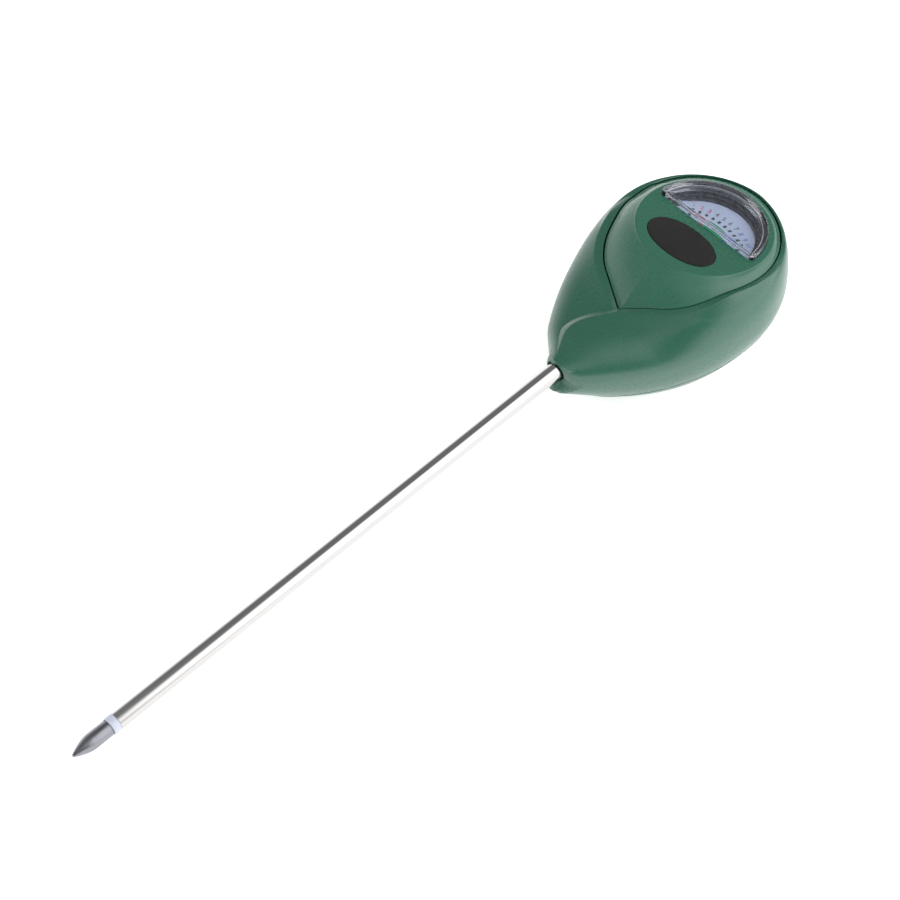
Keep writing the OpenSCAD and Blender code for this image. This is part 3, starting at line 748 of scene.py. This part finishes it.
def nose_mouth(skin):
    """The domed end of the nose, from the rod's hole out to where the flanks stop."""
    beta = np.radians(np.linspace(0, 360, 160, endpoint=False))
    d = np.column_stack([np.cos(beta), np.sin(beta)])

    def gap(p):
        """The head's section at the mouth, as seen along the rod: p holds y and z."""
        return body_gap(trim_x(p[:, 0], p[:, 1]) + 1e-4, p[:, 0], p[:, 1])

    far = reach(np.zeros(2), d, gap, 8.0)[:, None] * d
    edge_x = trim_x(far[:, 0], far[:, 1])
    far = pinch(np.column_stack([edge_x, far]))[:, 1:]
    d = far / np.linalg.norm(far, axis=1)[:, None]
    far = np.maximum(np.linalg.norm(far, axis=1), NOSE_R + 0.1)
    rows = []
    dome = edge_x - chin_x(far * d[:, 1])
    for s in (0, 0.06, 0.2, 0.5, 0.8, 0.96, 1.0):
        r = NOSE_R + s * (far - NOSE_R)
        x = chin_x(r * d[:, 1]) + dome * s ** 2 + 0.10 * (s == 0)
        rows.append(np.column_stack([x, r[:, None] * d]))
    bore = np.column_stack([np.full(len(d), 1.6), NOSE_R * d])
    skin.add(np.array([bore, rows[0]]), closed=True)
    skin.add(np.array(rows), closed=True)


skin = Skin()
lip_edge = np.concatenate([left_half(skin), right_half(skin)])
nose_mouth(skin)
place(skin.build("shell_front", M["shell_green"], 30), "shell_green", "front_shell")


# ------------------------------------------------------------------ back cover
WELL_X, WELL_Y, WELL_R = 24.0, 11.0, 2.3    # the two screw wells
WELL_FROM, WELL_TO = -30.0, -11.42


def back_cover():
    """Closed lower half, flattened where it lies on the bench, with two screw wells."""
    core = np.array([DEEP_X, 0.0])
    psi = np.linspace(0, 2 * math.pi, 260, endpoint=False)
    d = plan_dir(psi)
    far = reach(core, d, lambda p: body_gap(p[:, 0], p[:, 1], SPLIT_Z))
    lift_z = -ORIGIN[2] / MM
    rows = []
    for s in np.radians(np.linspace(2, 90, 64)):
        p = core + d * (far * math.sin(s))[:, None]
        z = WAIST_Z - depth(p[:, 0]) * side(p[:, 0], p[:, 1])
        z = np.minimum(z, SPLIT_Z)
        # the bench is the lowest z allowed at each x
        bench = (lift_z - p[:, 0] * HEAD_X[2]) / HEAD_Z[2]
        rows.append(np.column_stack([p, np.maximum(z, bench)]))
    rim = rows[-1]
    rows[-1] = rim - [0, 0, SKIRT_IN]
    rows.append(np.column_stack([core + (rim[:, :2] - core) * 0.993,
                                 np.full(len(rim), SPLIT_Z - SKIRT_LAP)]))
    skin = Skin()
    skin.add(np.array(rows), closed=True, flip=True)
    skin.fan(rows[0], rows[0].mean(axis=0))
    skin.fan(rows[-1], [DEEP_X, 0, SPLIT_Z - SKIRT_LAP], flip=True)
    return skin.build("cover_back", M["cover_green"], 30, outward=True)


def cylinder_cutter(x, y, r, z0, z1):
    """Closed cylinder along Z, to be taken out of the cover."""
    a = np.linspace(0, 2 * math.pi, 64, endpoint=False)
    ring = np.column_stack([x + r * np.cos(a), y + r * np.sin(a), 0 * a])
    cut = Skin()
    cut.add(np.array([ring + [0, 0, z0], ring + [0, 0, z1]]), closed=True)
    cut.fan(ring + [0, 0, z0], [x, y, z0], flip=True)
    cut.fan(ring + [0, 0, z1], [x, y, z1])
    return cut.build("cutter", M["cover_green"], 30, outward=True)


cover = back_cover()
for s in (-1, 1):
    cutter = cylinder_cutter(WELL_X, s * WELL_Y, WELL_R, WELL_FROM, WELL_TO)
    hole = cover.modifiers.new("screw_well", "BOOLEAN")
    hole.operation, hole.solver, hole.object = "DIFFERENCE", "FAST", cutter
    done = bpy.data.meshes.new_from_object(
        cover.evaluated_get(bpy.context.evaluated_depsgraph_get()))
    cover.modifiers.clear()
    cover.data = done
    bpy.data.objects.remove(cutter)
smooth(cover.data, 30)
place(cover, "cover_green", "back_cover")

# ------------------------------------------------------------------ face panel
EDGE_FILLET = 0.405         # rounding of the face's rim, inwards
RIM_DROP = 0.12             # and downwards
FOOT_ROUND = 0.5            # rounding of the panel's foot into the groove
FOOT_BELOW = 0.35           # how far the foot starts below the lip
FOOT_WALL = 1.6             # how far its wall goes down from there
BULGE = 0.045               # the flank's bulge, as a part of its length
WINDOW_GROW = 0.1           # room round the lens
WELL_DEEP = 1.7             # depth of the opening's dark wall
SEAT_GROW, SEAT_Z = 0.12, -0.5      # the badge's recess


def foot_z(phi):
    """Height where the panel's foot leaves the groove, just under the lip all round."""
    angle = np.arctan2(lip_edge[:, 1], lip_edge[:, 0] - CENTRE[0])
    order = np.argsort(angle)
    return np.interp(phi, angle[order], lip_edge[order, 2], period=2 * math.pi) - FOOT_BELOW


def d_outline(inset, corner=0.8, arc=96, bend=10, flat=24):
    """Closed half-round outline of the lens in the face plane, drawn in by inset.

    corner is the radius of its two corners; arc, bend and flat count the points on the
    arc, on each corner and along the straight side.
    """
    r, a = LENS_R - inset, LENS_FRONT + inset
    rc = max(corner - inset, 0.15)
    cy = math.sqrt((r - rc) ** 2 - (a + rc) ** 2)
    top = math.atan2(cy, a + rc)
    pts = [(r * math.cos(t), r * math.sin(t)) for t in np.linspace(-top, top, arc)]
    for t in np.linspace(top, math.pi, bend)[1:]:
        pts.append((a + rc + rc * math.cos(t), cy + rc * math.sin(t)))
    for y in np.linspace(cy, -cy, flat)[1:]:
        pts.append((a, y))
    for t in np.linspace(math.pi, 2 * math.pi - top, bend)[1:-1]:
        pts.append((a + rc + rc * math.cos(t), -cy + rc * math.sin(t)))
    return np.array(pts)


def oval(grow=0.0, count=120):
    """Badge outline: a blunt oval lying across the face."""
    a = np.linspace(0, 2 * math.pi, count, endpoint=False)
    e = 2 / 2.1
    c, s = np.cos(a), np.sin(a)
    return np.column_stack([
        BADGE_X + (BADGE_W / 2 + grow) * np.sign(c) * np.abs(c) ** e,
        (BADGE_L / 2 + grow) * np.sign(s) * np.abs(s) ** e])


def flat_with_holes(name, outer, holes):
    """Mesh of the flat face with holes through it."""
    bm = bmesh.new()
    edges = []
    for loop in [outer] + holes:
        pts = to_row(on_face(loop, 0.0))
        vs = [bm.verts.new(p) for p in pts]
        edges += [bm.edges.new((vs[i], vs[(i + 1) % len(vs)])) for i in range(len(vs))]
    bmesh.ops.triangle_fill(bm, edges=edges, use_beauty=True, use_dissolve=False)
    up = Vector(to_row(from_face([0, 0, 1])) - to_row(from_face([0, 0, 0])))
    for f in bm.faces:
        f.normal_update()
        if f.normal.dot(up) < 0:
            f.normal_flip()
    mesh = bpy.data.meshes.new(name)
    bm.to_mesh(mesh)
    bm.free()
    return mesh


def face_panel():
    """Rounded foot in the groove, bulging flank, face with its openings, badge recess."""
    phi = np.linspace(-math.pi, math.pi, 360, endpoint=False)
    low = foot_z(phi)
    foot_rows = []
    for a in np.radians([0, 20, 40, 60, 80]):
        xy = panel_edge(phi, -FOOT_ROUND * (1 - math.cos(a)))
        foot_rows.append(np.column_stack([xy, low + FOOT_ROUND * math.sin(a)]))
    foot = foot_rows[-1]
    ring = np.column_stack([np.cos(phi), np.sin(phi), 0 * phi])
    rim = from_face(ring * [FACE_R, FACE_R, 0] - [0, 0, RIM_DROP])
    skin = Skin()
    rows = [foot_rows[0] - [0, 0, FOOT_WALL]] + foot_rows
    run = rim - foot
    lengths = np.linalg.norm(run, axis=1)[:, None]
    for s in np.linspace(0, 1, 22)[1:]:
        bulge = np.sin(math.pi * s) * BULGE * lengths
        rows.append(foot + run * s + bulge * [0, 0, 1] + ring * bulge * 0.25)
    for a in np.radians([20, 40, 60, 75, 90]):
        r = FACE_R - EDGE_FILLET * (1 - math.cos(a))
        rows.append(from_face(ring * [r, r, 0] - [0, 0, RIM_DROP * (1 - math.sin(a))]))
    skin.add(np.array(rows), closed=True)
    seat = oval(SEAT_GROW)
    plate = flat_with_holes("plate", ring[:, :2] * (FACE_R - EDGE_FILLET),
                            [d_outline(-WINDOW_GROW), seat])
    skin.add(np.array([on_face(seat, z) for z in (0.0, SEAT_Z)]), closed=True)
    skin.fan(on_face(seat, SEAT_Z), from_face([BADGE_X, 0, SEAT_Z]))
    panel = skin.build("panel_body", M["panel_green"], 38)
    bm = bmesh.new()
    bm.from_mesh(panel.data)
    bm.from_mesh(plate)
    bmesh.ops.remove_doubles(bm, verts=bm.verts, dist=WELD)
    bm.to_mesh(panel.data)
    bm.free()
    smooth(panel.data, 38)
    return panel


place(face_panel(), "panel_green", "face_panel")


def well_rim():
    """Dark wall of the opening that the lens stands in."""
    loop = d_outline(-WINDOW_GROW)
    skin = Skin()
    skin.add(np.array([on_face(loop, z) for z in (0.0, -WELL_DEEP)]), closed=True)
    return skin.build("well_rim", M["well_black"], 40)


place(well_rim(), "well_black")


def badge():
    """Blank oval inlay that stands a little above the face, with a rounded rim."""
    top = 0.12
    steps = ((0, SEAT_Z), (0, -0.02), (-0.04, 0.06), (-0.12, 0.11), (-0.25, top))
    rows = [on_face(oval(grow), z) for grow, z in steps]
    skin = Skin()
    skin.add(np.array(rows), closed=True)
    skin.fan(rows[-1], from_face([BADGE_X, 0, top]))
    return skin.build("badge_blank", M["badge_black"], 40)


place(badge(), "badge_black", "badge")


# ------------------------------------------------------------------ lens
LENS_ROOF = 1.0         # thickness of its top
LENS_MID_X = 5.6        # middle of the half round, where its faces meet


def lens():
    """Closed half-round cover with a hollow below, both with rounded edges."""

    def cup(inset, top, fillet, turns, insets):
        """Wall up from the foot, rounded edge, then flat rings towards the middle."""
        spec = [(inset, LENS_FOOT), (inset, top - fillet)]
        spec += [(inset + fillet * (1 - math.cos(a)), top - fillet * (1 - math.sin(a)))
                 for a in np.radians(turns)]
        spec += [(s, top) for s in insets]
        return np.array([on_face(d_outline(s), z) for s, z in spec])

    inner_top = LENS_TOP - LENS_ROOF
    out = cup(0.0, LENS_TOP, 0.35, [18, 36, 54, 72, 90], (1.0, 2.4, 4.0))
    inn = cup(LENS_WALL, inner_top, 0.2, [30, 60, 90], (2.4, 4.0))
    skin = Skin()
    skin.add(out, closed=True)
    skin.fan(out[-1], from_face([LENS_MID_X, 0, LENS_TOP]))
    skin.add(inn, closed=True, flip=True)
    skin.fan(inn[-1], from_face([LENS_MID_X, 0, inner_top]), flip=True)
    skin.add(np.array([inn[0], out[0]]), closed=True)
    return skin.build("lens_cover", M["lens_clear"], 50, outward=True)


place(lens(), "lens_clear", "lens")


# ------------------------------------------------------------------ dial figures
FIGURE_SIZE, FIGURE_THICK = 1.55, 0.012
FIGURE_R, FIGURE_Z = 13.95, -2.985      # distance from the pivot, and height in the face
LAST_RED, LAST_DARK = 3, 7              # the numbers above these are blue


def scale_angle(k):
    return math.radians(4.5 * SCALE_STEP - (k - 1) * SCALE_STEP)


def numeral(k):
    """A dial number as a thin mesh, upright along the pointer."""
    curve = bpy.data.curves.new(f"figure_{k}", "FONT")
    curve.body = str(k)
    curve.size = FIGURE_SIZE * MM
    curve.extrude = FIGURE_THICK * MM
    curve.align_x, curve.align_y = "CENTER", "CENTER"
    curve.space_character = 0.85
    tmp = bpy.data.objects.new("tmp", curve)
    bpy.context.scene.collection.objects.link(tmp)
    mesh = bpy.data.meshes.new_from_object(
        tmp.evaluated_get(bpy.context.evaluated_depsgraph_get()))
    bpy.data.objects.remove(tmp)
    a = scale_angle(k)
    at = np.array([PIVOT_X + FIGURE_R * math.cos(a), FIGURE_R * math.sin(a)])
    up = np.array([math.cos(a), math.sin(a)])
    right = np.array([math.sin(a), -math.cos(a)])
    for v in mesh.vertices:
        p = at + (right * v.co.x + up * v.co.y) / MM
        v.co = Vector(to_row(from_face([p[0], p[1], FIGURE_Z + v.co.z / MM])))
    slot = ("print_red" if k <= LAST_RED else
            "print_dark" if k <= LAST_DARK else "print_blue")
    mesh.name = f"figure_{k}"
    return place(finish_mesh(f"figure_{k}", mesh, M[slot]), slot)


for k in range(1, 11):
    numeral(k)

# ------------------------------------------------------------------ probe
def turned(name, slot, node, profile, sharp):
    """A piece turned about the rod axis in place of a CAD node."""
    skin = Skin().add(lathe(profile), closed=True)
    place(skin.build(name, M[slot], sharp), slot, node)


# the rod, with a softened end at the ring, drawn down where it enters the head
turned("probe_rod", "tube_chrome", "probe_tube", [
    (TUBE_X0 + 0.02, TUBE_BORE_R), (TUBE_X0, 1.66), (TUBE_X0 + 0.03, 1.73),
    (TUBE_X0 + 0.1, TUBE_R), (-60, TUBE_R), (-2.5, TUBE_R), (0.4, SHANK_R),
    (TUBE_X1, SHANK_R), (TUBE_X1, TUBE_BORE_R)], 40)

turned("probe_ring", "sleeve_white", "insulator_ring", [
    (TUBE_X0, RING_BORE_R), (TUBE_X0, 1.68), (TUBE_X0 - 0.06, 1.74),
    (TUBE_X0 - 0.14, TUBE_R), (RING_X + 0.14, TUBE_R), (RING_X + 0.06, 1.73),
    (RING_X, 1.66), (RING_X, RING_BORE_R)], 40)

POINT_R, POINT_ROUND = 0.28, 0.06       # the blunt end of the tip
shoulder = -PROBE_L + TIP_POINT
tip_rows = [(RING_X, 0.05), (RING_X, TIP_R - 0.05), (RING_X - 0.06, TIP_R),
            (shoulder + 0.25, TIP_R), (shoulder + 0.1, TIP_R - 0.01)]
for s in np.linspace(1, 0.06, 16):
    tip_rows.append((-PROBE_L + POINT_ROUND + (TIP_POINT - POINT_ROUND) * s,
                     POINT_R + (TIP_R - POINT_R) * math.sin(math.pi / 2 * s)))
tip_rows += [(-PROBE_L + 0.12, 0.27), (-PROBE_L + 0.03, 0.18), (-PROBE_L, 0.05),
             (-PROBE_L, 0.0)]
turned("probe_point", "tip_metal", "probe_tip", tip_rows, 50)
